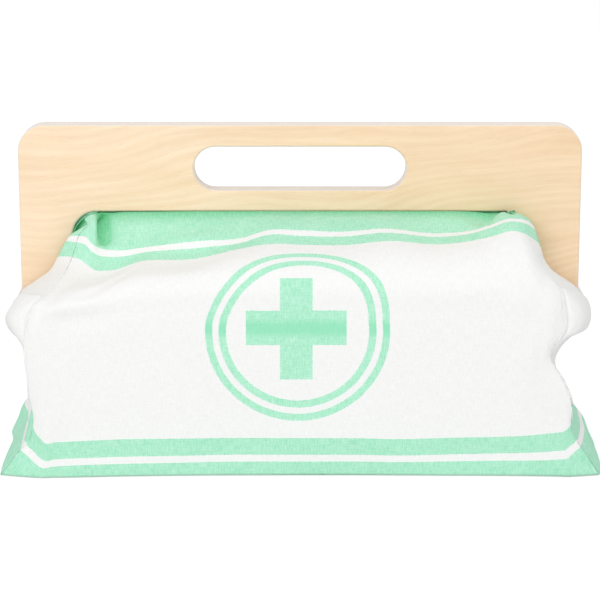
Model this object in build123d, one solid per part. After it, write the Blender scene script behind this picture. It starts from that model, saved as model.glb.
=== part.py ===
"""Toy doctor case: a sewn canvas bag carried by two plywood handle boards that are hinged inside it.

Millimetres. The origin is the middle of the bag's underside, on the surface that it stands on.
+X runs along the case, -Y is the front and +Z is up. The rest pose is the closed case.
"""

import os

from build123d import *

# Handle boards: two upside-down U plates of plywood, front and rear
board_length = 276.0
board_thickness = 5.0
board_gap = 1.6
bar_height = 43.0
leg_width = 26.0
leg_drop = 57.0
outer_corner_radius = 13.0
inner_corner_radius = 12.0
leg_end_radius = 6.0
edge_round = 1.2

# Hand slot, in the middle of each bar
slot_length = 104.0
slot_height = 21.3

# Canvas bag
canvas = 1.2
base_overhang = 6.0
base_depth = 120.0
mouth_height = 118.2
shoulder_drop = 18.2
wall_bulge = 1.5
wall_seam_drop = 18.0
waist_below_legs = 15.2
waist_inset = 13.0
hip_above_leg_ends = 6.8
hip_swell = 4.5
side_mouth_above_leg_ends = 17.8
leg_clearance = 1.3
brow_drop = 21.2
brow_inset = 11.0
mouth_inset = 2.5
frame_clearance = 0.4
ridge_room = 9.0

# Roof of the front panel: how far the cloth lies below the straight slope from the shoulder up to
# the bar, at these shares of the way up it. Each line is for one place along the case, as a share
# of half the mouth from its middle. The rear panel is the same, turned half round.
roof_run = [0.0, 0.15, 0.5, 0.8]
roof_sag = {
    -1.15: [16.0, 15.0, 16.0, 10.0],
    -1.02: [16.0, 14.5, 16.5, 10.5],
    -0.9: [15.5, 14.0, 16.5, 10.5],
    -0.6: [9.0, 6.0, 9.5, 6.5],
    0.0: [7.5, 1.5, 0.5, -0.5],
    0.6: [7.5, 1.0, -0.5, 0.0],
    0.9: [5.0, -4.5, -8.0, -4.5],
    1.02: [10.0, 2.5, -5.0, -4.5],
    1.15: [12.0, 10.5, 11.5, 11.5],
}

# Hem of each panel, clamped in a rebate on the inner face of its bar
hem_thickness = 0.9
rebate_height = 8.5
batten_thickness = 1.5
batten_clearance = 0.2
batten_screw_count = 5
batten_screw_margin = 12.0

# Stiffener that lies on the bottom panel
base_board_thickness = 3.0
base_board_clearance = 0.6
base_board_corner = 6.0

# Butt hinges that join the leg ends
hinge_length = 20.0
hinge_leaf_thickness = 0.8
hinge_leaf_height = 17.0
barrel_radius = 1.7
hinge_bore_radius = 1.0
hinge_pin_radius = 0.95
hinge_pin_head_radius = 1.5
hinge_pin_head_length = 0.6
knuckle_length = 5.0
knuckle_clearance = 0.2
leg_end_clearance = 0.8
hinge_screw_spacing = 10.0

# Countersunk wood screws
screw_head_radius = 1.7
screw_shank_radius = 0.8
screw_head_height = 0.8
screw_slot_width = 0.5
screw_slot_depth = 0.35
batten_screw_length = 4.0
hinge_screw_length = 3.6

# Hook-and-loop dots that hold the boards together
dot_radius = 8.0
dot_thickness = 0.7
dot_offset = 30.0

# Worked out from the sizes above
inner_face = board_gap / 2
outer_face = inner_face + board_thickness
frame_half_depth = outer_face + frame_clearance
bar_middle = mouth_height + bar_height / 2
board_top = mouth_height + bar_height
leg_end = mouth_height - leg_drop
base_length = board_length + 2 * base_overhang
shoulder_height = mouth_height - shoulder_drop
brow_height = mouth_height - brow_drop
waist_height = leg_end - waist_below_legs
waist_length = base_length - 2 * waist_inset
hip_height = leg_end + hip_above_leg_ends
side_mouth_height = leg_end + side_mouth_above_leg_ends
opening_length = board_length - 2 * leg_width
hem_length = opening_length - 2 * inner_corner_radius
batten_screw_spacing = (hem_length - 2 * batten_screw_margin) / (batten_screw_count - 1)
brow_length = board_length - 2 * brow_inset
mouth_length = opening_length - 2 * mouth_inset
rebate_depth = hem_thickness + batten_thickness
hem_back = inner_face + batten_thickness
pivot_height = leg_end - barrel_radius - leg_end_clearance
leg_middle = board_length / 2 - leg_width / 2
pocket_length = board_length + 2 * leg_clearance + 2 * canvas
REACH = 400.0


def mirrored(shape):
    """The rear piece that matches a front one."""
    return mirror(shape, about=Plane.XZ)


def half_turned(shape):
    """The same piece of cloth at the other side of the bag, turned half round."""
    return Rot(0, 0, 180) * shape


def block(x, y, z):
    """A box between the low and high ends given for each axis."""
    size = [high - low for low, high in (x, y, z)]
    middle = [(high + low) / 2 for low, high in (x, y, z)]
    return Pos(*middle) * Box(*size)


def rod(radius, start, end, height):
    """A round bar along X on the hinge line's plane, from start to end."""
    disc = Plane.YZ.offset(start) * Pos(0, height) * Circle(radius)
    return extrude(disc, amount=end - start)


def wood_screw(x, z, head_face, length):
    """A slotted countersunk screw driven towards -Y, with its head flush at the depth head_face."""
    head = Pos(0, 0, screw_head_height / 2) * Cone(screw_head_radius, screw_shank_radius, screw_head_height)
    shank = Pos(0, 0, length / 2) * Cylinder(screw_shank_radius, length)
    slot = Box(REACH, screw_slot_width, 2 * screw_slot_depth)
    return Plane.XZ.offset(head_face) * Pos(x, z) * (head + shank - slot)


# Handle boards


def board_blank():
    """The front board before its rebate, recesses and screw holes, with all its edges rounded over."""
    tall = board_top - leg_end
    outline = Pos(0, (board_top + leg_end) / 2) * Rectangle(board_length, tall)
    upper = outline.vertices().group_by(Axis.Y)[-1]
    outline = fillet(upper, outer_corner_radius)
    opening = Pos(0, mouth_height - leg_drop) * Rectangle(opening_length, 2 * leg_drop)
    opening = fillet(opening.vertices().group_by(Axis.Y)[-1], inner_corner_radius)
    outline -= opening
    outline = fillet(outline.vertices().group_by(Axis.Y)[0], leg_end_radius)
    outline -= Pos(0, bar_middle) * SlotOverall(slot_length, slot_height)
    blank = extrude(Plane.XZ.offset(inner_face) * outline, amount=board_thickness)
    rims = blank.edges().filter_by(Axis.Y, reverse=True)
    return fillet(rims, edge_round)


def hinge_recess(side):
    """The shallow pocket in a leg's inner face that lets a hinge leaf in flush."""
    middle = side * leg_middle
    half = hinge_length / 2 + knuckle_clearance
    top = pivot_height + hinge_leaf_height + knuckle_clearance
    return block((middle - half, middle + half), (-barrel_radius, 0), (leg_end - 1, top))


def hinge_screws():
    """The four screws that hold the front leaves of both hinges."""
    height = (leg_end + pivot_height + hinge_leaf_height) / 2
    face = barrel_radius - hinge_leaf_thickness
    places = [
        side * leg_middle + end * hinge_screw_spacing / 2
        for side in (-1, 1)
        for end in (-1, 1)
    ]
    return [wood_screw(x, height, face, hinge_screw_length) for x in places]


def batten_screws():
    """The row of screws that clamps the batten and the hem into the bar."""
    first = -batten_screw_spacing * (batten_screw_count - 1) / 2
    height = mouth_height + rebate_height / 2
    places = [first + n * batten_screw_spacing for n in range(batten_screw_count)]
    return [wood_screw(x, height, inner_face, batten_screw_length) for x in places]


def handle_board():
    """The front handle board, with the hem's rebate, the hinge recesses and the screw holes."""
    half = hem_length / 2
    board = board_blank()
    board -= block(
        (-half, half),
        (-inner_face - rebate_depth, 0),
        (mouth_height - edge_round, mouth_height + rebate_height),
    )
    for side in (-1, 1):
        board -= hinge_recess(side)
    for screw in hinge_screws() + batten_screws():
        board -= screw
    return board


def hem():
    """The turned top edge of the front panel: up in the rebate, and forwards under the bar."""
    half = hem_length / 2
    upright = block(
        (-half, half),
        (-hem_back - hem_thickness, -hem_back),
        (mouth_height - hem_thickness, mouth_height + rebate_height - batten_clearance),
    )
    under = block(
        (-half, half),
        (-outer_face, -hem_back),
        (mouth_height - hem_thickness, mouth_height),
    )
    strip = upright + under
    for screw in batten_screws():
        strip -= screw
    return strip


def batten():
    """The thin wooden strip that clamps the hem, flush with the bar's inner face."""
    half = hem_length / 2
    strip = block(
        (-half, half),
        (-hem_back, -inner_face),
        (mouth_height + batten_clearance, mouth_height + rebate_height - batten_clearance),
    )
    for screw in batten_screws():
        strip -= screw
    return strip


def closure_dots():
    """Two round hook-and-loop dots on the inner face of the front bar, one each side of the slot."""
    reach = slot_length / 2 + dot_offset
    discs = [Plane.XZ.offset(inner_face) * Pos(side * reach, bar_middle) * Circle(dot_radius) for side in (-1, 1)]
    return [extrude(disc, amount=-dot_thickness) for disc in discs]


# Hinges


def knuckle_spans(outer):
    """Where the knuckles of a leaf lie along the hinge: the two outer ones, or the middle one."""
    half = hinge_length / 2
    if outer:
        return [(-half, -half + knuckle_length), (half - knuckle_length, half)]
    inside = half - knuckle_length - knuckle_clearance
    return [(-inside, inside)]


def hinge_leaf(side, outer):
    """One leaf on the front board's leg, with its knuckles round the pin."""
    middle = side * leg_middle
    half = hinge_length / 2
    low = pivot_height + barrel_radius + knuckle_clearance
    plate_y = (-barrel_radius, -barrel_radius + hinge_leaf_thickness)
    leaf = block((middle - half, middle + half), plate_y, (low, pivot_height + hinge_leaf_height))
    for start, end in knuckle_spans(outer):
        leaf += block((middle + start, middle + end), plate_y, (pivot_height, low))
        leaf += rod(barrel_radius, middle + start, middle + end, pivot_height)
    leaf -= rod(hinge_bore_radius, middle - hinge_length, middle + hinge_length, pivot_height)
    for screw in hinge_screws():
        leaf -= screw
    return leaf


def hinge_pin(side):
    """The headed pin of one hinge."""
    middle = side * leg_middle
    half = hinge_length / 2
    pin = rod(hinge_pin_radius, middle - half - hinge_pin_head_length, middle + half, pivot_height)
    pin += rod(hinge_pin_head_radius, middle - half - hinge_pin_head_length, middle - half, pivot_height)
    pin += rod(hinge_pin_head_radius, middle + half, middle + half + hinge_pin_head_length, pivot_height)
    return pin


# Bag


def half_section(station):
    """The front half of the bag's cross-section at one place along it, from the floor to the ridge."""
    half = base_depth / 2
    run = half - frame_half_depth
    rise = mouth_height - shoulder_height
    wall = [(-half, -shoulder_height), (-half, 0), (-half - wall_bulge, shoulder_height / 2)]
    roof = [
        (share * run - half, shoulder_height + share * rise - sag)
        for share, sag in zip(roof_run, roof_sag[station])
    ]
    ridge = mouth_height + rise * frame_half_depth / run
    return wall + roof + [(-frame_half_depth, mouth_height), (0, ridge)]


def section(station):
    """The whole cross-section at one place along the bag, across Y and up Z."""
    rear = [(-y, z) for y, z in half_section(-station)]
    return half_section(station) + rear[-2::-1]


def drawn_in(points):
    """A section drawn in by the canvas's thickness."""
    moved = []
    for n, (y, z) in enumerate(points):
        before = Vector(y, z) - Vector(*points[n - 1])
        after = Vector(*points[(n + 1) % len(points)]) - Vector(y, z)
        first, second = [Vector(edge.Y, -edge.X).normalized() for edge in (before, after)]
        moved.append(Vector(y, z) + (first + second) * (canvas / (1 + first.dot(second))))
    return [(place.X, place.Y) for place in moved]


def along_case(inner):
    """The bag's outer or inner form through all its cross-sections, running on past both ends."""
    stations = [min(roof_sag), *roof_sag, max(roof_sag)]
    places = [-REACH, *[station * mouth_length / 2 for station in roof_sag], REACH]
    faces = []
    for station, place in zip(stations, places):
        points = drawn_in(section(station)) if inner else section(station)
        faces.append(Plane.YZ.offset(place) * make_face(Polyline(*points, close=True)))
    return loft(faces, ruled=True)


def side_profile():
    """The bag's outline seen from the front, across X and up Z, and running on past both ends."""
    pocket = pocket_length / 2
    slope = (brow_length - mouth_length) / 2 / (mouth_height - brow_height)
    above = mouth_height + ridge_room
    right = [
        (base_length / 2, -waist_height),
        (base_length / 2, 0),
        (waist_length / 2, waist_height),
        (pocket, hip_height - (side_mouth_height - hip_height)),
        (pocket + hip_swell, hip_height),
        (pocket, side_mouth_height),
        (brow_length / 2, brow_height),
        (mouth_length / 2, mouth_height),
        (mouth_length / 2 - slope * ridge_room, above),
    ]
    left = [(-x, z) for x, z in reversed(right)]
    return make_face(Polyline(*right, *left, close=True))


def along_y(profile):
    """The bar with this section across X and Z."""
    return extrude(Plane.XZ * profile, amount=REACH, both=True)


def shrunk(profile):
    """A profile drawn in by the canvas's thickness."""
    return offset(profile, amount=-canvas, kind=Kind.INTERSECTION)


def bag_volumes():
    """The bag's outer and inner forms, each as a form along X and a bar along Y."""
    side = side_profile()
    return along_case(inner=False), along_case(inner=True), along_y(side), along_y(shrunk(side))


def level(low, high):
    """Everything between two heights."""
    return block((-REACH, REACH), (-REACH, REACH), (low, high))


front_of_frame = block((-REACH, REACH), (-REACH, -frame_half_depth), (-REACH, REACH))


def long_panel(low, high):
    """The stretch of the front panel between two heights."""
    outer, inner, _, core = bag_volumes()
    return (outer - inner) & core & front_of_frame & level(low, high)


def gusset(low, high, side):
    """The stretch of the left (-1) or right (1) gusset between two heights."""
    outer, _, ends, core = bag_volumes()
    half = block(sorted((0, side * REACH)), (-REACH, REACH), (-REACH, REACH))
    return (ends - core) & outer & half & level(low, high)


def gusset_folds():
    """The upper front corners of both gussets, which fold in front of the legs."""
    return [gusset(side_mouth_height, REACH, side) & front_of_frame for side in (-1, 1)]


def bottom_panel():
    """The canvas under the bag, sewn to the four walls."""
    _, across, _, along = bag_volumes()
    return across & along & level(0, canvas)


def base_board():
    """The loose stiffener on the bottom panel, short of the sloping ends by its clearance."""
    top = canvas + base_board_thickness
    lean = (base_length - waist_length) / waist_height * top
    long = base_length - lean - 2 * canvas - 2 * base_board_clearance
    wide = base_depth - 2 * canvas - 2 * base_board_clearance
    plate = RectangleRounded(long, wide, base_board_corner)
    return extrude(Plane.XY.offset(canvas) * plate, amount=base_board_thickness)


def save(name, *shapes):
    """Writes one named piece, or a group of alike ones, as a STEP file."""
    solids = [solid for shape in shapes for solid in shape.solids()]
    made = solids[0] if len(solids) == 1 else Compound(children=solids)
    export_step(made, f"parts/{name}.step")


def save_frame():
    """The two handle boards with all that is fixed to them."""
    board, strip, clamp = handle_board(), hem(), batten()
    save("front_handle_board", board)
    save("rear_handle_board", mirrored(board))
    save("front_hem", strip)
    save("rear_hem", mirrored(strip))
    save("front_batten", clamp)
    save("rear_batten", mirrored(clamp))
    save("front_batten_screws", *batten_screws())
    save("rear_batten_screws", *[mirrored(screw) for screw in batten_screws()])
    save("front_hinge_screws", *hinge_screws())
    save("rear_hinge_screws", *[mirrored(screw) for screw in hinge_screws()])
    save("hook_dots", *closure_dots())
    save("loop_dots", *[mirrored(dot) for dot in closure_dots()])
    for name, side in (("left", -1), ("right", 1)):
        save(f"{name}_hinge_front_leaf", hinge_leaf(side, outer=True))
        save(f"{name}_hinge_rear_leaf", mirrored(hinge_leaf(side, outer=False)))
        save(f"{name}_hinge_pin", hinge_pin(side))


def save_bag():
    """The sewn canvas bag and its stiffener."""
    wall = long_panel(0, shoulder_height - wall_seam_drop)
    slope = long_panel(shoulder_height - wall_seam_drop, REACH)
    end = gusset(0, side_mouth_height, -1)
    folds = gusset_folds()
    save("bottom_panel", bottom_panel())
    save("base_board", base_board())
    save("front_panel", wall)
    save("rear_panel", half_turned(wall))
    save("front_panel_top", slope)
    save("rear_panel_top", half_turned(slope))
    save("left_gusset", end)
    save("right_gusset", half_turned(end))
    save("front_gusset_folds", *folds)
    save("rear_gusset_folds", *[half_turned(fold) for fold in folds])


os.makedirs("parts", exist_ok=True)
save_frame()
save_bag()
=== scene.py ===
"""Dresses the toy doctor case: sewn canvas bag, two plywood handle boards, hinges and fastenings.

Sections of cloth are in millimetres. A row of four numbers is (length up the cloth, x, y, z), and a
row of three is (x, y, z) unless a comment says otherwise. The left of the case is at -x.
"""

import math

import bpy
import numpy as np
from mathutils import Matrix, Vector


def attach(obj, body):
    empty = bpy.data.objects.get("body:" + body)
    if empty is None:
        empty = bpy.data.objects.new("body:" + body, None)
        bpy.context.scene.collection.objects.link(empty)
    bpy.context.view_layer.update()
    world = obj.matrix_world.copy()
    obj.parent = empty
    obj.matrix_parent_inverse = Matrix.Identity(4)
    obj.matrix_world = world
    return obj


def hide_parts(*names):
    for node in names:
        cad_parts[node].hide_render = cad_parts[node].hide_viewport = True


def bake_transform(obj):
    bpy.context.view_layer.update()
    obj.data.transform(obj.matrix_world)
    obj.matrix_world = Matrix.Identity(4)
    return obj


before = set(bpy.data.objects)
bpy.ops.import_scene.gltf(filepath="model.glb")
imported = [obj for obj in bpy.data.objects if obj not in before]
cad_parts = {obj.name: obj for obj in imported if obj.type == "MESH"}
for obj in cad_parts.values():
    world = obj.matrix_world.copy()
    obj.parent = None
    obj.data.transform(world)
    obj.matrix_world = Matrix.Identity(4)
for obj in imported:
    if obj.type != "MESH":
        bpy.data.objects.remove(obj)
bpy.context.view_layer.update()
bpy.ops.object.select_all(action="DESELECT")

MM = 0.001
BEYOND = 400  # past the end of any cloth, mm
SEAM_ALLOWANCE = 9  # cloth of an end wall or panel below the base line, mm
BAR_LINE = 157  # length up the long panel at which its bar holds it, mm
PANEL_WIDTH = 260.0  # mm across the long panel, for the spacing of its grid
END_WIDTH = 120.0  # mm across an end wall
CANVAS_THICKNESS = 0.9  # mm
GATHERS_THICKNESS = 0.6  # mm
HEM_THICKNESS = 0.8  # mm
LOWEST = 0.00005  # m; no cloth goes below this height
PANEL_STEPS = 161
END_STEPS = 111
FAR_FROM_SEAM = 50.0  # mm, for a cloth that shows no side seam
AMBIENT = 0.65
FLOOR_GLOW = 0.42
FOLD_STEPS = 89
# Distances from a side seam at which a cloth's grid has its first columns, mm.
BESIDE_SEAM = (0, 0.4, 0.8, 1.2, 1.6, 2, 2.5, 3, 3.6, 4.3, 5.2, 6.3)

# ---------------------------------------------------------------- cloth sections
# Half the cut width of a long panel against the length up the cloth.
CUT_AT = [-9, 0, 100, 157]
CUT_HALF = [144, 144, 131, 113.5]

# Sections of the long panel, from its left seam (-1) to its right seam (1). A row of three
# numbers leaves out x, which is then the panel's own cut width there.
LONG_PANEL = {
    -1.0: [
        (-9, -144, -60, 0.3), (-3, -140, -60.5, 5), (6.7, -134.2, -59, 12.3), (10.2, -131.3, -58, 14.7),
        (18.7, -127.9, -59, 24.2), (35, -129.2, -59.6, 40.5), (59, -131, -60, 64.5),
        (70, -129, -60, 75.5), (79, -125.5, -58.5, 83.5), (88, -120.5, -53, 87),
        (101, -116.5, -41.5, 90.5), (113, -113.5, -30.5, 93.5), (124.3, -111, -20.5, 98.7),
        (132.8, -109, -17, 105.2), (136.3, -108.1, -16, 108.2), (144, -104, -12.8, 113.2),
        (150.5, -105.6, -10, 115.3), (157, -103.5, -6.6, 117.1)],
    -0.966: [
        (-4.5, -136.5, -62, 0.3), (6.7, -129.5, -61, 8.8), (10.2, -127.3, -60.2, 11.7),
        (18.7, -126.2, -60.2, 20.8), (35, -126.3, -60.7, 38.5), (59, -127, -61.5, 62.5),
        (72, -124.7, -61.5, 76), (81, -121.5, -60, 83), (90, -117.5, -54, 87), (101, -113.5, -44, 90),
        (112, -110, -33.5, 92.5), (124.3, -107, -22.5, 97.8), (132.8, -105.3, -19, 104.8),
        (136.3, -104.7, -18, 108.2), (144, -102.2, -14.6, 114.2), (150, -102.4, -11, 117),
        (157, -101, -6.6, 117.5)],
    -0.92: [
        (1.5, -125.3, -64.5, 0.3), (6.7, -124.2, -63.5, 4.9), (10.2, -122.7, -63, 8.3),
        (18.7, -121.8, -62.3, 16.7), (35, -122.3, -62, 34.5), (59, -122.5, -62, 59.5),
        (74, -121, -62, 74.5), (83, -118.5, -61, 82.5), (92, -115, -54.5, 87), (102, -111, -45, 89.5),
        (113, -106.5, -35, 91.5), (124.3, -102, -26, 95), (132.8, -101.3, -21.3, 101.6),
        (136.3, -101, -20, 104.9), (144, -99.6, -16.2, 111.5), (150, -98.8, -12, 115.2),
        (157, -98, -6.6, 117.6)],
    -0.86: [
        (0.5, -119.5, -64.3, 0.3), (6.7, -118.8, -63.3, 5.2), (10.2, -118.5, -62.8, 8.6),
        (18.7, -117.3, -62, 17), (38, -117, -61.8, 37), (60, -117, -62, 59.5), (76, -115.5, -62, 75.5),
        (84.5, -114, -61.5, 83.5), (93, -111, -55, 88), (103, -107, -46, 90), (113, -103, -37.5, 91),
        (124.3, -98.5, -29, 93.7), (132.8, -97.3, -21.5, 99.4), (136.3, -97, -18.6, 102.4),
        (144, -95.6, -12, 105), (150, -94.8, -8.5, 110), (157, -94.5, -6.3, 117)],
    -0.785: [
        (0, -112, -64, 0.3), (6.7, -111.8, -63, 5.6), (10.2, -111.6, -62.5, 8.9),
        (18.7, -110.5, -61.5, 17.2), (40, -109.3, -61.3, 39), (60, -107.5, -61.7, 59),
        (78, -105.5, -62, 77), (87, -104, -61.3, 85.7), (95.5, -101, -54.5, 90),
        (105, -97.5, -45.5, 91.2), (114, -94.5, -37, 91.7), (124.3, -91.5, -28.2, 93.6),
        (132.8, -90.3, -22.5, 99), (136.3, -90, -21, 102), (146, -88.5, -13.5, 109),
        (157, -87.5, -6.5, 117.5)],
    -0.61: [
        (0, -62.3, 0.3), (6.7, -61.5, 6), (10.2, -61, 9.4), (18.7, -60.5, 18), (40, -60.8, 39.5),
        (60, -61.2, 59.5), (80, -61.5, 79.5), (91, -60.5, 90), (99, -55.5, 95), (108, -46.5, 97.2),
        (116, -38.5, 97.7), (124.3, -30.5, 99), (132.8, -22.8, 101.7), (136.3, -20, 103.7),
        (146, -13, 109.7), (157, -6.5, 117.7)],
    -0.402: [
        (0, -61, 0.3), (6.7, -60.5, 6.3), (10.2, -60.5, 9.8), (18.7, -60.3, 18.3), (40, -60.5, 40),
        (60, -60.8, 60), (80, -61, 80), (92.5, -60, 92), (101, -54.5, 97.5), (109, -47, 99),
        (117, -39, 99.3), (124.3, -32, 100.3), (132.8, -24.5, 104), (136.3, -23.3, 107.2),
        (146, -15, 112), (157, -6.5, 118)],
    -0.24: [
        (0, -60.5, 0.3), (18.7, -60, 18.5), (40, -60.2, 40), (60, -60.5, 60), (80, -60.5, 80),
        (93, -59.7, 92.8), (101, -55.5, 99), (109, -48.7, 102.7), (117, -41, 104.5), (124.3, -34, 105.3),
        (132.8, -25.8, 106.6), (136.3, -22.8, 108.4), (146, -14.7, 113), (157, -6.5, 118)],
    -0.12: [
        (0, -60.3, 0.3), (18.7, -60, 18.5), (40, -60, 40), (60, -60.3, 60), (80, -60.3, 80),
        (93, -59.5, 92.8), (101, -55.3, 99), (109, -49, 103.5), (117, -42, 106.3), (124.3, -35, 108),
        (132.8, -27.2, 111), (136.3, -24.2, 112.7), (146, -15.3, 116), (157, -6.5, 118)],
    0.0: [
        (0, -60, 0.3), (18.7, -60, 18.5), (40, -60, 40), (60, -60.2, 60), (80, -60.2, 80),
        (93, -59.3, 92.8), (101, -55, 99), (109, -48.8, 103.3), (117, -41.8, 106), (124.3, -35, 107.8),
        (132.8, -27.5, 110.6), (136.3, -24.8, 112.8), (146, -15.7, 116), (157, -6.5, 118)],
    0.18: [
        (0, -60, 0.3), (18.7, -60, 18.5), (40, -60, 40), (60, -60.2, 60), (80, -60.2, 80),
        (93, -59.3, 92.8), (101, -55, 99), (109, -48.8, 103.5), (117, -41.8, 106.3), (124.3, -35, 108),
        (132.8, -27.4, 110.6), (136.3, -24.3, 112.3), (146, -15.3, 115.8), (157, -6.5, 118)],
    0.34: [
        (0, -60.5, 0.3), (18.7, -60, 18), (40, -60, 39.7), (60, -60.2, 59.7), (80, -60.2, 79.7),
        (93, -59.3, 92.5), (101, -55, 99), (109, -49, 104), (117, -42.2, 107.5), (124.3, -35.3, 109.8),
        (132.8, -27.3, 112.3), (136.3, -24.2, 113.7), (146, -15, 116.7), (157, -6.5, 118)],
    0.552: [
        (0, -61, 0.3), (6.7, -60, 7), (18.7, -60, 18.8), (40, -60.2, 40), (60, -60.5, 60),
        (80, -60.5, 80), (93, -59.7, 92.7), (101, -55.5, 99), (109, -49.3, 103.5), (117, -42.2, 106.5),
        (124.3, -35.2, 108), (132.8, -27, 110), (136.3, -23.7, 111), (146, -15, 114.5), (157, -6.5, 118)],
    0.68: [
        (0, -61.2, 0.3), (6.7, -60.2, 7.3), (10.2, -60, 10.9), (18.7, -60, 19.2), (40, -60.2, 40.2),
        (60, -60.5, 60.2), (80, -60.5, 80.2), (93, -60, 93), (101, -57, 100.3), (109, -51.3, 105.3),
        (117, -44.3, 108.7), (124.3, -37, 110.3), (132.8, -28.5, 111.7), (136.3, -25, 112.3),
        (146, -15.7, 115), (157, -6.5, 118)],
    0.765: [
        (0, -61.6, 0.3), (6.7, -60.8, 7.5), (10.2, -60.5, 11.3), (18.7, -60.2, 19.8), (40, -60.4, 40.8),
        (58, -60.8, 58.7), (76, -61, 76.5), (88, -60.8, 88), (98, -58, 98), (107, -52.8, 104.8),
        (116, -45.8, 110), (124.3, -38.5, 113.2), (132.8, -30.5, 115.2), (136.3, -27, 115.6),
        (146, -16.5, 114.6), (152, -10.5, 115.4), (157, -6.5, 117.6)],
    0.825: [
        (0, 117, -62, 0.3), (6.7, 116.7, -61.4, 7.8), (10.2, 116.3, -61, 11.8), (18.7, 115, -60.4, 20.5),
        (40, 111.5, -60.6, 41.5), (57, 109.5, -61, 58.5), (72, 109.5, -61.5, 73.5),
        (88, 107.5, -61.5, 89.3), (98, 105.5, -59, 98.8), (107, 103.7, -54, 106),
        (116, 101.8, -47, 111.7), (124.3, 100.3, -39.7, 115.3), (132.8, 99.7, -32, 118.3),
        (136.3, 99.7, -29, 119.1), (146, 98.5, -19.5, 119.3), (157, 97, -8, 117.6)],
    0.885: [
        (0, 124, -62.3, 0.3), (6.7, 123.5, -61.8, 8.4), (10.2, 122.7, -61.3, 12.5),
        (18.7, 121.3, -60.7, 21.3), (38, 116.5, -61, 40.5), (55, 113, -61, 57.5), (70, 114.5, -62, 72.5),
        (86, 113.5, -61.8, 88), (97, 111, -58.5, 98), (107, 109, -53.5, 105.5), (116, 107.5, -47, 111),
        (124.3, 106, -40, 114.7), (132.8, 106, -32.5, 118.2), (136.3, 106, -29.5, 119.2),
        (146, 103.5, -20.5, 119.5), (157, 101, -9, 117.8)],
    0.935: [
        (0, 129, -62.8, 0.3), (6.7, 128.3, -62, 9.2), (10.2, 127, -61.5, 13), (18.7, 126, -60.7, 22),
        (36, 121.4, -61, 39.3), (53, 116, -61, 56), (68, 119, -62, 71), (83, 119.2, -61.5, 85),
        (95, 116.8, -57, 94.5), (106, 114.3, -50.5, 101.5), (116, 112.3, -44, 107.5),
        (124.3, 110.7, -37, 111.8), (132.8, 110.5, -29, 116), (136.3, 110.2, -26, 117.5),
        (146, 107, -17.5, 119), (157, 103, -9, 118)],
    0.968: [
        (-4, 136.5, -61.5, 0.3), (6.7, 131, -61, 11.5), (10.2, 129.5, -60.5, 14.8),
        (18.7, 128, -60.3, 23.3), (33, 126, -60.5, 37.6), (42, 122.3, -60.6, 46),
        (54, 117.4, -60.7, 57.3), (68.5, 121.5, -61.3, 71.3), (82, 122.5, -60.3, 83.5),
        (93, 121.6, -55.7, 91.9), (104, 118.2, -47.5, 97.5), (111, 115.9, -42, 101.2),
        (120, 115.6, -35, 105.8), (126, 114.8, -30, 108.5), (131.3, 114.2, -25.8, 111.6),
        (136.5, 113.2, -21.7, 114.5), (144, 110.5, -15.3, 117.3), (152.5, 104.9, -9.8, 118.6),
        (157, 102, -7.6, 118.2)],
    1.0: [
        (-9, 144, -60, 0.3), (6.7, 134.5, -59.5, 14), (10.2, 132.2, -59.5, 17), (18.7, 129.7, -59.5, 25),
        (31, 129.9, -59.7, 37.3), (40, 126.3, -59.8, 46), (55, 118.9, -60, 59.5), (69, 125.3, -60, 71.8),
        (80, 124.6, -59, 82.5), (92, 123.3, -53.5, 91.3), (98, 121, -47, 93.3), (104, 118.2, -40.5, 96.2),
        (111, 116, -34.5, 99.3), (120, 115.2, -28.5, 103.6), (126, 114.4, -24, 106.4),
        (131.3, 113.6, -20.5, 109.4), (136.5, 112.8, -17, 112.2), (144, 110.4, -12.3, 115.2),
        (152.5, 105.3, -8.5, 117.4), (157, 103, -7, 117.6)],
}

# Soft creases pressed into the long panel: start and end on the cloth, height, half width.
PANEL_CREASES = [
    ((-128, 83), (-92, 86), 0.9, 3.5),
    ((-113, 82), (-72, 117), -0.9, 3.2),
    ((-112, 88), (-74, 124), 0.6, 4.5),
    ((-132, 74), (-84, 80), -0.8, 6.0),
    ((-121, 50), (-108, 84), -0.35, 5.0),
    ((-127, 24), (-119, 52), -0.4, 4.0),
    ((104, 60), (122, 100), -0.5, 5.0),
    ((118, 40), (110, 74), 0.35, 4.0),
    ((-102.4, 138), (-102.6, 182), -5.0, 3.3),
    ((-109.8, 132), (-110.4, 156), 0.6, 3.4),
    ((-95.5, 134), (-94.5, 166), 0.6, 3.0),
    ((90.0, 138), (91.5, 178), -2.4, 2.4),
    ((96.5, 136), (97.5, 180), 1.0, 3.0),
]

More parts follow.
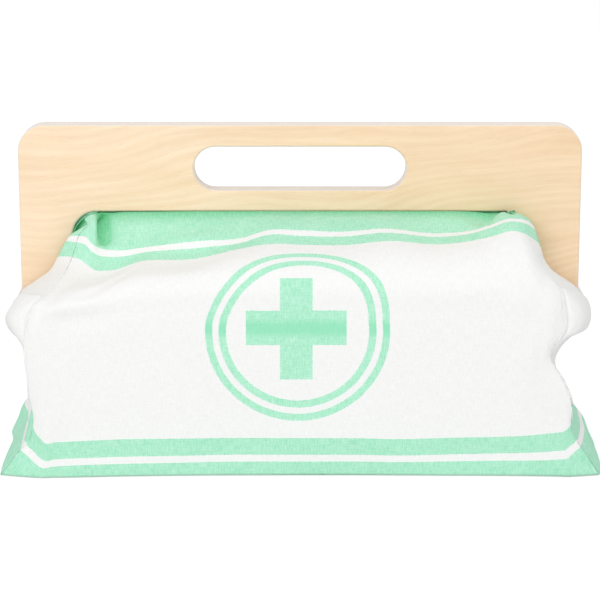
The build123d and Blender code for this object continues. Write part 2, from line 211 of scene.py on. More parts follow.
# Half of an end wall as it hangs at the left front corner, from the panel's seam (0) to the middle
# (0.5). Each row is one line along the cloth: up from the base, the hollow, the ear and the lip.
LEFT_END_SEAM = [-9, -3, 6.7, 15, 26, 42, 60, 68, 71.5, 76, 81.5, 88]
LEFT_END = {
    0.06: [
        (-144.3, -54.5, 0.3), (-140.5, -54.3, 5), (-134.2, -53.8, 12), (-130.8, -53.4, 20),
        (-129.8, -53.4, 29), (-130.2, -54, 44), (-132, -55.3, 61), (-136.6, -55.5, 72),
        (-137, -54.8, 75.5), (-134, -53, 80.8), (-131.3, -51, 83.8), (-128, -48, 86.2)],
    0.14: [
        (-144.8, -43.5, 0.3), (-141.2, -43.5, 5.5), (-134.2, -43.4, 13), (-131.2, -43.3, 21),
        (-131.2, -43.5, 29), (-131.8, -44, 43), (-132.6, -45, 60), (-140.6, -45.6, 71.6),
        (-141, -45.2, 74.6), (-138.3, -43.6, 79.9), (-136, -41.5, 82.6), (-133.7, -39, 84.8)],
    0.25: [
        (-145, -30, 0.3), (-141.8, -30, 5.5), (-135.2, -30, 13), (-131.8, -30, 20.5), (-131, -30, 28),
        (-131.3, -30.3, 42), (-134.2, -31, 56.6), (-142.8, -31.6, 67.8), (-143.3, -31.2, 70.6),
        (-140.9, -30, 75.4), (-139.8, -29.6, 77.4), (-138.9, -29.2, 79)],
    0.38: [
        (-145, -14.4, 0.3), (-142.4, -14.4, 5), (-137.6, -14.4, 11.3), (-134, -14.4, 17.6),
        (-131.4, -14.4, 27), (-130, -14.5, 40), (-136.3, -14.9, 52.4), (-145, -15.2, 64.2),
        (-145.5, -15, 66.8), (-142.6, -14.9, 71.4), (-141.2, -14.9, 73.6), (-140.4, -14.8, 75.4)],
    0.5: [
        (-145, 0, 0.3), (-142.8, 0, 5), (-138.4, 0, 11), (-134.4, 0, 18), (-130.8, 0, 29),
        (-129.2, 0, 40), (-136.8, 0, 50.4), (-145.6, 0, 60.6), (-146.2, 0, 63.6), (-143.8, 0, 68.4),
        (-141.6, 0, 71.8), (-140.3, 0, 74.8)],
}
# The same at the right front corner.
RIGHT_END_SEAM = [-9, -2.5, 6, 14.5, 30, 54, 63, 70, 75.5, 81, 86.5, 92]
RIGHT_END = {
    0.06: [
        (144.9, -54.5, 0.3), (141, -54.2, 5), (135.9, -53.5, 12.3), (132.4, -53, 19),
        (129.3, -53.3, 35.5), (120, -55.5, 56), (125.7, -56.6, 65.8), (131.8, -56, 70), (133.8, -55, 76),
        (132.5, -53.5, 82), (130, -51.5, 86.5), (127.3, -49, 89.5)],
    0.14: [
        (146.3, -43.5, 0.3), (143.1, -43.5, 5.5), (138.5, -43.5, 12.3), (134.6, -43.5, 18.7),
        (129, -44, 34), (122, -45.5, 54), (129.4, -46.3, 65.2), (136.9, -46, 68.8), (139, -45, 74),
        (137.4, -43.5, 80), (134.8, -41.5, 84), (132, -39, 86.8)],
    0.25: [
        (147, -30, 0.3), (144.3, -30, 6), (141.3, -30, 12.5), (136.7, -30, 18.5), (130.4, -30.3, 34),
        (124.2, -31, 50.5), (131.3, -31.5, 61.3), (138.8, -31.3, 65.6), (141, -30.5, 71.8),
        (140.6, -30, 76.2), (139.6, -29.6, 79), (138.8, -29.2, 80.8)],
    0.38: [
        (147.3, -14.4, 0.3), (144.7, -14.4, 6), (142, -14.4, 12.5), (137.6, -14.4, 18.5),
        (130.9, -14.5, 32), (126, -14.8, 46), (133, -15.1, 57.2), (140.9, -15.2, 62), (142.9, -15, 68),
        (141.8, -14.9, 72.4), (140.8, -14.9, 74.8), (140.3, -14.8, 76.2)],
    0.5: [
        (147.6, 0, 0.3), (144.8, 0, 6), (142, 0, 13), (137.6, 0, 19), (131, 0, 31), (127, 0, 42.5),
        (133.8, 0, 52.8), (142.4, 0, 58.4), (144.9, 0, 64.5), (143, 0, 69.4), (141.2, 0, 72.8),
        (140.3, 0, 75.2)],
}
# The cloth that folds in front of the left leg: from the panel's seam (0) across the pocket's roof
# to the fold that lies against the leg (1), and turned under it. Its rows are lines along the cloth.
LEFT_FOLD_SEAM = [81, 88, 101, 113, 124.3, 132.8, 136.3, 144]
LEFT_FOLD = {
    0.5: [
        (84, -138.4, -32, 74.6), (90, -136, -31.6, 79.8), (101.5, -125, -25, 87.5),
        (113.5, -118.8, -20, 92), (124.3, -115.5, -16, 98), (132.8, -112.3, -14.5, 105.1),
        (136.3, -111.2, -14, 107.8), (140.5, -108, -12.3, 110.8)],
    0.9: [
        (90, -138.8, -12, 71.6), (97, -137.8, -11.3, 78.2), (107, -129.5, -11, 85),
        (116.5, -122.5, -11.5, 90.5), (124.3, -118.8, -11.6, 96.8), (132.8, -114.6, -11.9, 104.7),
        (136.3, -113.2, -11.7, 106.9), (138.5, -111.6, -10.6, 108.4)],
    1.0: [
        (92, -138.9, -9.3, 71.4), (99, -137.9, -9, 78.2), (108.5, -130.4, -9.1, 84.3),
        (117, -123, -9.6, 89.8), (124.3, -119.4, -9.9, 96.1), (132.8, -115, -10.2, 104.3),
        (136.3, -113.6, -10.1, 106.4), (138, -112.2, -9.2, 107.8)],
    1.1: [
        (94, -138.7, -7.5, 71), (101, -137, -7.4, 77), (109.5, -129.6, -7.5, 83), (118, -122, -7.6, 88.7),
        (124.3, -118.3, -7.9, 95), (132.8, -114, -8.2, 103.3), (136.3, -112.7, -8.2, 105.4),
        (138, -111.5, -7.8, 106.8)],
}
RIGHT_FOLD_SEAM = [86, 92, 100, 107, 114, 122, 128, 137, 146, 157]
RIGHT_FOLD = {
    0.5: [
        (86, 137.6, -32.4, 76), (93, 135, -32, 82.9), (104, 126.5, -29.5, 90.4),
        (111, 121.6, -28.5, 94.5), (118, 118.2, -27.5, 99.3), (126, 116.6, -24.5, 105.2),
        (131, 115.4, -21.5, 109), (139.5, 113.2, -16.5, 114.3), (147, 109.8, -12, 116.6),
        (157, 103.5, -7.5, 117.4)],
    0.9: [
        (90, 138.8, -12, 72.6), (97.5, 137.6, -11.3, 79.4), (108.5, 129.3, -11.2, 86),
        (115.5, 122.8, -11.6, 89.8), (122, 118.6, -12.2, 94.6), (129, 117.2, -12.6, 101),
        (133.5, 115.9, -12.6, 105.2), (141.5, 113.3, -11.6, 112), (148, 109.7, -10.4, 115.6),
        (157, 104, -8, 117)],
    1.0: [
        (92, 138.9, -9.3, 72.2), (99.5, 137.3, -9, 79), (110.5, 128.6, -9.1, 85.3),
        (117.5, 122.3, -9.4, 89), (123.5, 118.2, -9.8, 93.6), (130, 116.9, -10, 100),
        (134.3, 115.6, -10, 104.2), (142, 113, -9.6, 111), (148, 109.5, -9, 115), (157, 104.3, -8, 116.5)],
    1.1: [
        (94, 138.7, -7.5, 71.6), (101.5, 136.7, -7.4, 77.9), (111.5, 127.7, -7.5, 84.2),
        (118.5, 121.4, -7.7, 88), (124.5, 117.3, -8, 92.6), (131, 116, -8.2, 99.1),
        (135, 114.6, -8.2, 103.3), (142.5, 112, -8.1, 110), (148.5, 108.6, -7.9, 114),
        (157, 103.7, -7.6, 115.5)],
}
# The gathers in the corner under the left of the bar, from the fold's upper edge (0) to the wood (1).
LEFT_TUCK = {
    0.0: [
        (-112, -8.6, 106.6), (-109.2, -9.8, 108.6), (-106.6, -11, 110.4), (-103.4, -12, 111.8),
        (-101.6, -10.2, 114.4), (-100.2, -6.4, 116.8)],
    0.2: [
        (-112.4, -3.4, 102.5), (-110, -2.6, 104.6), (-107.8, -2.6, 107.4), (-105.4, -4.6, 110.6),
        (-103.4, -5.8, 114.6), (-99.8, -3.6, 117.4)],
    0.5: [
        (-112.2, -0.9, 105.4), (-110.6, -0.6, 108.6), (-108.2, -0.8, 111.8), (-105.6, -2, 114.4),
        (-103.2, -3.6, 116.6), (-99.5, -2.6, 117.9)],
    1.0: [
        (-111.9, -2.6, 106), (-111, -2, 110.8), (-108.9, -1.8, 114), (-106, -2.2, 116.4),
        (-103, -2.6, 117.8), (-99.2, -2.6, 118.3)],
}
RIGHT_TUCK = {
    0.0: [
        (112.6, -9, 110.6), (111.4, -9.4, 113.2), (109.6, -9.6, 115.2), (107.4, -9.2, 116.4),
        (105.2, -8.4, 117), (102.5, -7.4, 117.4)],
    0.5: [
        (112.1, -6.6, 109.6), (110.9, -6.4, 112.4), (109, -6.4, 114.8), (106.8, -6.4, 116.4),
        (104.6, -6.2, 117.2), (102, -5.8, 117.8)],
    1.0: [
        (111.6, -4.2, 108), (110.6, -3.8, 111.4), (108.6, -3.6, 114.3), (106, -3.6, 116.4),
        (103.6, -3.6, 117.5), (101.2, -3.8, 118)],
}


def cut_half(length):
    """Half the cut width of a long panel."""
    return np.interp(length, CUT_AT, CUT_HALF)


def through(knots, values, at):
    """A smooth curve through the values at the knots, read at other places."""
    k = np.asarray(knots, float)
    v = np.asarray(values, float)
    at = np.asarray(at, float)
    slope = (v[1:] - v[:-1]) / (k[1:] - k[:-1])[:, None]
    lean = np.empty_like(v)
    lean[0] = slope[0]
    lean[-1] = slope[-1]
    before = (k[1:-1] - k[:-2])[:, None]
    after = (k[2:] - k[1:-1])[:, None]
    lean[1:-1] = (slope[:-1] * after + slope[1:] * before) / (before + after)
    i = np.clip(np.searchsorted(k, at, side="right") - 1, 0, len(k) - 2)
    span = k[i + 1] - k[i]
    f = ((at - k[i]) / span)[:, None]
    span = span[:, None]
    rise = f * f * (3 - 2 * f)
    start = f * (1 - f) ** 2
    end = f * f * (f - 1)
    return v[i] * (1 - rise) + v[i + 1] * rise + span * (lean[i] * start + lean[i + 1] * end)


def loft(sections, across, along):
    """Points of the cloth through its sections, and the length up the cloth at each."""
    keys = sorted(sections)
    rows = [np.array(sections[k], float) for k in keys]
    first = np.array([r[0, 0] for r in rows])
    last = np.array([r[-1, 0] for r in rows])
    curves = [through(r[:, 0], r[:, 1:], a + (b - a) * along) for r, a, b in zip(rows, first, last)]
    flat = np.array(curves).reshape(len(keys), -1)
    points = through(keys, flat, across).reshape(len(across), len(along), 3)
    low = through(keys, first[:, None], across)
    high = through(keys, last[:, None], across)
    return points, low + (high - low) * along[None, :]


def aligned_loft(sections, across, steps, edges):
    """Cloth through sections whose rows are the same lines; the length comes first in each row.

    Edges holds, for a place across, the rows' lengths there and the way to find the seam's points.
    """
    keys = sorted([*sections, *edges])
    curves = []
    lengths = []
    for key in keys:
        on_edge = key in edges
        rows = np.array(edges[key][0], float)[:, None] if on_edge else np.array(sections[key], float)
        line = np.linspace(0, len(rows) - 1, steps)
        at = np.interp(line, range(len(rows)), rows[:, 0])
        lengths.append(at)
        curves.append(edges[key][1](at) if on_edge else through(rows[:, 0], rows[:, 1:], at))
    points = through(keys, np.array(curves).reshape(len(keys), -1), across)
    up = through(keys, np.array(lengths), across)
    return points.reshape(len(across), steps, 3), up


def panel_edge(side, lengths):
    """Points on the side edge of the long panel, where the end wall is sewn to it."""
    rows = np.array(LONG_PANEL[1.0 if side > 0 else -1.0], float)
    return through(rows[:, 0], rows[:, 1:], lengths)


def with_lengths(rows):
    """Adds to each row the length along its section, counted from the seam allowance at the base."""
    points = np.array(rows, float)
    steps = np.linalg.norm(np.diff(points, axis=0), axis=1)
    return np.column_stack([np.concatenate([[0], np.cumsum(steps)]) - SEAM_ALLOWANCE, points])


def from_edges(length):
    """Places across a cloth, close together beside both of its side seams and 1 mm apart between."""
    first = 7.4
    middle = np.linspace(first, length - first, int(length - 2 * first) + 1)
    return np.concatenate([BESIDE_SEAM, middle, length - np.array(BESIDE_SEAM)[::-1]])


def outward(points):
    """The surface's own normal at every point of a grid."""
    normal = np.cross(np.gradient(points, axis=0), np.gradient(points, axis=1))
    return normal / (np.linalg.norm(normal, axis=2)[..., None] + 1e-9)


def pushed(points, height):
    """Moves the points of a grid along its normal."""
    return points + outward(points) * height[..., None]


def hump(distance, centre, width):
    """A soft hump of height 1."""
    return np.exp(-(((distance - centre) / width) ** 2))


def turned(points):
    """The same cloth at the rear: half a turn about the upright axis."""
    return points * np.array([-1.0, -1.0, 1.0])


def grid_mesh(name, points, u, v, edge=None):
    """A sheet of quads on a grid of points, with the cloth's own coordinates in metres as its UV map."""
    n, m = points.shape[:2]
    index = np.arange(n * m).reshape(n, m)
    a = index[:-1, :-1].ravel()
    b = index[1:, :-1].ravel()
    c = index[1:, 1:].ravel()
    d = index[:-1, 1:].ravel()
    faces = np.stack([a, b, c, d], axis=1)
    mesh = bpy.data.meshes.new(name)
    mesh.from_pydata((points.reshape(-1, 3) * MM).tolist(), [], faces.tolist())
    loops = np.empty(len(mesh.loops), int)
    mesh.loops.foreach_get("vertex_index", loops)
    if edge is None:
        edge = np.full(points.shape[:2], FAR_FROM_SEAM)
    for layer_name, one, two in (("cloth", u, v), ("seam", edge, v)):
        layer = mesh.uv_layers.new(name=layer_name)
        uv = np.stack([one.ravel()[loops], two.ravel()[loops]], axis=1) * MM
        layer.data.foreach_set("uv", uv.astype(np.float32).ravel())
    mesh.polygons.foreach_set("use_smooth", [True] * len(mesh.polygons))
    mesh.update()
    piece = bpy.data.objects.new(name, mesh)
    bpy.context.scene.collection.objects.link(piece)
    return piece


def apply_modifiers(piece):
    """Applies every modifier on a piece."""
    bpy.ops.object.select_all(action="DESELECT")
    piece.select_set(True)
    bpy.context.view_layer.objects.active = piece
    for modifier in list(piece.modifiers):
        bpy.ops.object.modifier_apply(modifier=modifier.name)
    piece.select_set(False)


def thicken(piece, thickness):
    """Gives a sheet its thickness on its inner side."""
    wall = piece.modifiers.new("canvas", "SOLIDIFY")
    wall.thickness = thickness * MM
    wall.offset = -1.0
    apply_modifiers(piece)
    for vertex in piece.data.vertices:
        vertex.co.z = max(vertex.co.z, LOWEST)


def slack(u, v, phase):
    """Slow ripples of soft cotton, about 1 high."""
    return (
        np.sin(u / 21 + v / 47 + phase)
        + 0.7 * np.sin(u / 13 - v / 29 + 2.1 * phase)
        + 0.6 * np.sin(u / 37 - v / 15 + 0.7 * phase)
        + 0.35 * np.sin(u / 7.3 + v / 9.1 + 1.3 * phase)
    )


def crease(u, v, start, end, width):
    """A soft fold along a straight line on the cloth, fading at its ends: 1 on the line."""
    start = np.array(start, float)
    along = np.array(end, float) - start
    reach = np.linalg.norm(along)
    along = along / reach
    du = u - start[0]
    dv = v - start[1]
    f = (du * along[0] + dv * along[1]) / reach
    off = dv * along[0] - du * along[1]
    fade = np.clip(1 - (2 * f - 1) ** 2, 0, 1)
    return np.exp(-((off / width) ** 2)) * fade


# ---------------------------------------------------------------- finishes
class Value:
    """One number, colour or vector in a finish; arithmetic on it adds Math nodes."""

    def __init__(self, finish, socket):
        self.finish = finish
        self.socket = socket

    def math(self, operation, a, b=0.0, clamp=False):
        settings = {"operation": operation, "use_clamp": clamp}
        return self.finish.node("ShaderNodeMath", settings, {0: a, 1: b})

    def __add__(self, other):
        return self.math("ADD", self, other)

    def __radd__(self, other):
        return self.math("ADD", other, self)

    def __sub__(self, other):
        return self.math("SUBTRACT", self, other)

    def __rsub__(self, other):
        return self.math("SUBTRACT", other, self)

    def __mul__(self, other):
        return self.math("MULTIPLY", self, other)

    def __rmul__(self, other):
        return self.math("MULTIPLY", other, self)

    def __truediv__(self, other):
        return self.math("DIVIDE", self, other)

    def __abs__(self):
        return self.math("ABSOLUTE", self)

    def clamped(self):
        return self.math("ADD", self, 0.0, clamp=True)

    def sine(self):
        return self.math("SINE", self)

    def root(self):
        return self.math("SQRT", self)

    def most(self, other):
        return self.math("MAXIMUM", self, other)


class Finish:
    """A material under construction."""

    def __init__(self, name):
        self.material = bpy.data.materials.new(name)
        self.material.use_nodes = True
        self.tree = self.material.node_tree
        self.tree.nodes.clear()

    def node(self, kind, settings, sockets, output=0):
        """Adds a node: its settings first, then the values or links of its sockets."""
        node = self.tree.nodes.new(kind)
        for key, value in settings.items():
            setattr(node, key, value)
        for key, value in sockets.items():
            if isinstance(value, Value):
                self.tree.links.new(value.socket, node.inputs[key])
            else:
                node.inputs[key].default_value = value
        return Value(self, node.outputs[output])

    def place(self):
        """Object coordinates, split into x, y and z."""
        whole = self.node("ShaderNodeTexCoord", {}, {}, "Object")
        return whole, [self.node("ShaderNodeSeparateXYZ", {}, {0: whole}, axis) for axis in range(3)]

    def cloth_place(self):
        """The cloth's own coordinates in millimetres: across, and up from the base."""
        whole = self.node("ShaderNodeUVMap", {"uv_map": "cloth"}, {})
        across = self.node("ShaderNodeSeparateXYZ", {}, {0: whole}, 0) * 1000.0
        up = self.node("ShaderNodeSeparateXYZ", {}, {0: whole}, 1) * 1000.0
        return whole, across, up

    def noise(self, vector, scale, detail=2.0, roughness=0.5,
              stretch=(1.0, 1.0, 1.0), offset=(0.0, 0.0, 0.0)):
        """Soft noise from 0 to 1, stretched by a factor on each axis."""
        at = self.node("ShaderNodeMapping", {}, {"Vector": vector, "Scale": stretch, "Location": offset})
        sockets = {"Vector": at, "Scale": scale, "Detail": detail, "Roughness": roughness}
        return self.node("ShaderNodeTexNoise", {}, sockets)

    def mix(self, factor, a, b, blend="MIX"):
        """Mixes two colours."""
        settings = {"data_type": "RGBA", "blend_type": blend}
        return self.node("ShaderNodeMix", settings, {0: factor, 6: a, 7: b}, 2)

    def bump(self, height, distance, strength):
        """A bump of so many metres."""
        sockets = {"Height": height, "Distance": distance, "Strength": strength}
        return self.node("ShaderNodeBump", {}, sockets)

    def surface(self, colour, roughness, normal=None, metallic=0.0, **constants):
        """Ends the material in a principled surface; constants are its other sockets, by name."""
        sockets = {"Base Color": colour, "Roughness": roughness, "Metallic": metallic}
        if normal is not None:
            sockets["Normal"] = normal
        for key, value in constants.items():
            sockets[key.replace("_", " ").title().replace("Ior", "IOR")] = value
        shader = self.node("ShaderNodeBsdfPrincipled", {}, sockets)
        out = self.tree.nodes.new("ShaderNodeOutputMaterial")
        self.tree.links.new(shader.socket, out.inputs[0])
        return self.material


def rgb(red, green, blue):
    """A colour written in display values from 0 to 255, as the renderer needs it."""
    out = []
    for c in (red, green, blue):
        c = c / 255
        out.append(c / 12.92 if c <= 0.04045 else ((c + 0.055) / 1.055) ** 2.4)
    return (*out, 1.0)


def between(value, low, high, soft=0.25):
    """1 where the value lies between two limits, with a soft edge."""
    rise = ((value - low) / soft + 0.5).clamped()
    fall = ((high - value) / soft + 0.5).clamped()
    return rise * fall


# The print, in mm up and across the cloth. Bands: the base's edge and line, the roof's line and top.
MINT_BANDS = [(-30, 6.7), (10.2, 18.7), (124.3, 132.8), (136.3, BEYOND)]
RING_ACROSS = -1.13
RING_UP = 71.1
RINGS = [(33.9, 37.4), (40.4, 43.8)]
CROSS_ACROSS = -1.75
UPRIGHT_HALF = 7.7
UPRIGHT_ENDS = (47.6, 97.3)
ARMS_HALF = 23.85
ARMS_EDGES = (64.5, 81.3)
# Where the pleat lies by the left corner, and the notch of the roof by the right one.
PLEAT_ACROSS = (-106.0, -98.5)
NOTCH_ACROSS = (104.6, 107.6)

WHITE_DARK = rgb(243, 243, 242)
WHITE_LIGHT = rgb(252, 252, 251)
MINT_DARK = rgb(155, 230, 193)
MINT_LIGHT = rgb(207, 251, 229)
MINT_HEAVY = rgb(146, 231, 190)
# Tones of painted shade, multiplied into the canvas's colour.
LOW_SHADE = rgb(241, 246, 244)
PLEAT_SHADE = rgb(148, 224, 180)
NOTCH_SHADE = rgb(96, 176, 128)
BAR_SHADE = rgb(168, 218, 184)
HEM_SHADE = rgb(120, 200, 150)
SEAM_SHADE = rgb(92, 140, 112)

WOOD_DARK = rgb(240, 208, 168)
WOOD_LIGHT = rgb(255, 232, 202)
# Painted shade for the wood, darker and browner.
WOOD_SHADE_TAN = rgb(242, 227, 205)
WOOD_BLOTCH = rgb(255, 224, 188)
WOOD_FLECK = rgb(214, 182, 146)
# Edge colours: the plies, paler as a painted reflection on the lacquer.
PLY_SHEEN_DARK = rgb(226, 212, 200)
PLY_SHEEN_LIGHT = rgb(245, 238, 232)
# Radians a millimetre: one light and one dark ply in 2 mm.
PLY_PITCH = 3.14145


def canvas_finish(name, emblem):
    """White cotton canvas with mint bands at both ends and, on a long panel, a cross in a double ring,
    with painted shade in its hollows and towards the bar.
    """
    f = Finish(name)
    whole, across, up = f.cloth_place()
    bleed = (f.noise(whole, 900.0, 2.0) - 0.5) * 0.7
    t = up + bleed
    printed = 0.0
    for low, high in MINT_BANDS:
        printed = between(t, low, high) + printed
    if emblem:
        lean = ((up - 76.0) / 20.0).clamped() * 3.2
        du = across - RING_ACROSS - lean
        dt = up - RING_UP
        r = (du * du + dt * dt).root() + bleed
        for inner, outer in RINGS:
            printed = printed + between(r, inner, outer)
        x = abs(across - CROSS_ACROSS + bleed)
        upright = (1 - between(x, UPRIGHT_HALF, BEYOND)) * between(t, *UPRIGHT_ENDS)
        arms = (1 - between(x, ARMS_HALF, BEYOND)) * between(t, *ARMS_EDGES)
        printed = printed + upright.most(arms)
    printed = printed.clamped()
    warp = f.noise(whole, 1.0, 3.0, 0.7, stretch=(1500.0, 260.0, 1.0))
    weft = f.noise(whole, 1.0, 3.0, 0.7, stretch=(220.0, 1500.0, 1.0), offset=(5.0, 3.0, 0.0))
    cloudy = f.noise(whole, 55.0, 3.0, 0.6)
    thread = (warp * 0.6 + weft * 0.4).clamped()
    white = f.mix(((thread - 0.36) * 3.4).clamped(), WHITE_DARK, WHITE_LIGHT)
    worn = ((thread - 0.38) * 4.2).clamped() * 0.75 + ((cloudy - 0.35) * 1.7).clamped() * 0.25
    mint = f.mix(worn, MINT_DARK, MINT_LIGHT)
    if emblem:
        heavy = between(up, 69.2, 76.2, 3.5)
        mint = f.mix(heavy * 0.75, mint, MINT_HEAVY)
    # Painted shade over the mint low on the cloth.
    low_bands = between(up, -30, 22, 1.0)
    mint = f.mix(low_bands * 0.35, mint, LOW_SHADE, "MULTIPLY")
    colour = f.mix(printed, white, mint)
    # Painted shade: deeper in the pleat's valley and in the notch, towards the bar where it shades the
    # cloth, and on the hem behind it and in the gathers.
    if emblem:
        pleat = between(across, *PLEAT_ACROSS, 6.0) * between(up, 143.0, BEYOND, 15.0)
        colour = f.mix(pleat * 0.7, colour, PLEAT_SHADE, "MULTIPLY")
        notch = between(across, *NOTCH_ACROSS, 1.2) * between(up, 149.5, BEYOND, 3.0)
        colour = f.mix(notch, colour, NOTCH_SHADE, "MULTIPLY")
    near_bar = ((up - 147.5) / 9.5).clamped()
    colour = f.mix(near_bar * near_bar, colour, BAR_SHADE, "MULTIPLY")
    hem = ((up - 157.0) / 8.0).clamped()
    colour = f.mix(hem, colour, HEM_SHADE, "MULTIPLY")
    # A thin broken line of painted shade in the seam's groove, fainter on the plain part, and stitches
    # beside it.
    seam_map = f.node("ShaderNodeUVMap", {"uv_map": "seam"}, {})
    edge = f.node("ShaderNodeSeparateXYZ", {}, {0: seam_map}, 0) * 1000.0
    broken = ((f.noise(whole, 1.0, 2.0, 0.6, stretch=(40.0, 300.0, 1.0)) - 0.4) * 7.0).clamped()
    seam = between(edge, -1, 0.2, 0.16) * broken
    plain_part = between(up, 22, 112, 8.0)
    colour = f.mix(seam * (0.55 - plain_part * 0.43), colour, SEAM_SHADE, "MULTIPLY")
    stitch = between(edge, 0.9, 1.3, 0.25) * (((up * 2.2).sine() - 0.25) * 3.0).clamped()
    weave = ((across * 8.4).sine() * (up * 8.4).sine() + 1) * 0.5
    normal = f.bump(weave * 0.5 + thread - stitch * 0.7, 0.00014, 0.6)
    return f.surface(colour, 0.92, normal, sheen_weight=0.1, sheen_roughness=0.6, specular_ior_level=0.15)


def wood_finish(name):
    """Pale lacquered birch plywood: fine wavy grain along the case, painted shade to the right and low,
    and the plies on its edges with a painted reflection.
    """
    f = Finish(name)
    whole, (x, y, z) = f.place()
    drift = f.noise(whole, 1.0, 2.0, 0.5, stretch=(9.0, 1.0, 40.0))
    # The grain climbs a little to the right and sways.
    sway = f.noise(whole, 1.0, 1.0, 0.4, stretch=(10.0, 1.0, 15.0), offset=(2.0, 0.0, 5.0))
    rise = z - x * 0.11 + sway * 0.035
    grain = f.node("ShaderNodeCombineXYZ", {}, {0: x, 1: y, 2: rise})
    figure = f.noise(grain, 1.0, 3.0, 0.6, stretch=(16.0, 60.0, 190.0))
    streak = f.noise(grain, 1.0, 3.0, 0.65, stretch=(60.0, 300.0, 1250.0))
    pore = f.noise(grain, 1.0, 1.0, 0.5, stretch=(210.0, 300.0, 2800.0), offset=(3.0, 1.0, 7.0))
    figured = ((rise * 1500.0).sine() * 0.5 + 0.5) * figure * 0.34
    tone = (drift * 0.9 + figure * 0.6 + streak * 0.55 + figured - 0.66) * 1.35
    face = f.mix(tone.clamped(), WOOD_DARK, WOOD_LIGHT)
    # Painted shade: darker and browner to the right and low on the legs, where less light falls.
    wood_shade = ((x * 3.6 + 0.35).clamped() * 0.55 + (0.115 - z).most(0.0) * 6.0).clamped()
    face = f.mix(wood_shade * 0.75, face, WOOD_SHADE_TAN, "MULTIPLY")
    blotch = f.noise(whole, 75.0, 3.0, 0.6, stretch=(0.6, 1.0, 1.4))
    face = f.mix(((blotch - 0.42) * 3.0).clamped() * 0.4, face, WOOD_BLOTCH)
    flecks = ((pore - 0.62) * 7.0).clamped() * 0.22
    face = f.mix(flecks, face, WOOD_FLECK)
    # Edges are where the surface doesn't face forwards or backwards; they show the plies, made paler as a
    # painted reflection of the lacquered round-over.
    normal_at = f.node("ShaderNodeTexCoord", {}, {}, "Normal")
    facing = abs(f.node("ShaderNodeSeparateXYZ", {}, {0: normal_at}, 1))
    edge = ((0.82 - facing) * 6.0).clamped()
    depth = abs(y) * 1000.0
    plies = ((depth - 0.3) * PLY_PITCH).sine() * 0.5 + 0.5
    end_grain = f.noise(whole, 1.0, 2.0, 0.6, stretch=(700.0, 500.0, 700.0))
    ply_and_sheen = f.mix((plies * 0.7 + end_grain * 0.5).clamped(), PLY_SHEEN_DARK, PLY_SHEEN_LIGHT)
    colour = f.mix(edge, face, ply_and_sheen)
    normal = f.bump(streak * 0.6 + pore * 0.4, 0.00005, 0.35)
    return f.surface(colour, 0.42 + figure * 0.1, normal, coat_weight=0.25, coat_roughness=0.2)


def steel_finish(name):
    """Brushed zinc-plated steel."""
    f = Finish(name)
    whole, _ = f.place()
    brushed = f.noise(whole, 1.0, 3.0, 0.6, stretch=(300.0, 2500.0, 2500.0))
    cloudy = f.noise(whole, 260.0, 2.0)
    colour = f.mix(cloudy, rgb(186, 188, 192), rgb(214, 215, 218))
    return f.surface(colour, 0.26 + brushed * 0.2, f.bump(brushed, 0.00003, 0.3), metallic=1.0)


def board_finish(name):
    """Grey fibre board with a mottled, slightly hairy face."""
    f = Finish(name)
    whole, _ = f.place()
    fibre = f.noise(whole, 1.0, 4.0, 0.7, stretch=(900.0, 350.0, 600.0))
    mottle = f.noise(whole, 120.0, 3.0)
    colour = f.mix((fibre * 0.7 + mottle * 0.5 - 0.1).clamped(), rgb(176, 164, 146), rgb(212, 202, 186))
    return f.surface(colour, 0.85, f.bump(fibre, 0.0001, 0.5))


def dot_finish(name, loops):
    """Woven hook-and-loop tape: stiff hooks, or soft loops."""
    f = Finish(name)
    whole, (x, _, z) = f.place()
    size = 3900.0 if loops else 5200.0
    knot = ((x * size).sine() * (z * size).sine() + 1) * 0.5
    fuzz = f.noise(whole, 2200.0 if loops else 900.0, 3.0, 0.7)
    height = fuzz * 0.8 + knot * 0.4 if loops else knot + fuzz * 0.2
    colour = f.mix(height.clamped(), rgb(214, 214, 212), rgb(240, 240, 238))
    return f.surface(colour, 0.8, f.bump(height, 0.0003, 0.7), sheen_weight=0.2)


# ---------------------------------------------------------------- the stage
def stage_floor():
    """A wide white floor that keeps the object's shadow."""
    bpy.ops.mesh.primitive_plane_add(size=8, location=(0, 2.0, -0.0003))
    floor = bpy.context.object
    floor.name = "floor"
    f = Finish("floor_white")
    camera = f.node("ShaderNodeLightPath", {}, {}, "Is Camera Ray")
    glossy = f.node("ShaderNodeLightPath", {}, {}, "Is Glossy Ray")
    through_glass = f.node("ShaderNodeLightPath", {}, {}, "Is Transmission Ray")
    seen = camera.most(glossy).most(through_glass)
    white = (1.0, 1.0, 1.0, 1.0)
    f.surface((0.8, 0.8, 0.8, 1.0), 0.9, emission_color=white, emission_strength=seen * FLOOR_GLOW)
    floor.data.materials.append(f.material)


def stage_world():
    """Plain white light from all round, and a white background behind it."""
    world = bpy.data.worlds.new("studio")
    bpy.context.scene.world = world
    world.use_nodes = True
    tree = world.node_tree
    tree.nodes.clear()
    out = tree.nodes.new("ShaderNodeOutputWorld")
    rays = tree.nodes.new("ShaderNodeLightPath")
    seen = tree.nodes.new("ShaderNodeMath")
    seen.operation = "MAXIMUM"
    either = tree.nodes.new("ShaderNodeMixShader")
    for socket, ray in enumerate(("Is Camera Ray", "Is Glossy Ray")):
        tree.links.new(rays.outputs[ray], seen.inputs[socket])
    for socket, strength in ((1, AMBIENT), (2, 1.0)):
        light = tree.nodes.new("ShaderNodeBackground")
        light.inputs["Color"].default_value = (1, 1, 1, 1)
        light.inputs["Strength"].default_value = strength
        tree.links.new(light.outputs[0], either.inputs[socket])
    tree.links.new(seen.outputs[0], either.inputs[0])
    tree.links.new(either.outputs[0], out.inputs[0])


def stage_lamp(name, place, size, power, aim=(0, 0, 0.07)):
    """A soft square lamp."""
    bpy.ops.object.light_add(type="AREA", location=place)
    lamp = bpy.context.object
    lamp.name = name
    lamp.data.size = size
    lamp.data.energy = power
    lamp.rotation_euler = (Vector(aim) - Vector(place)).to_track_quat("-Z", "Y").to_euler()


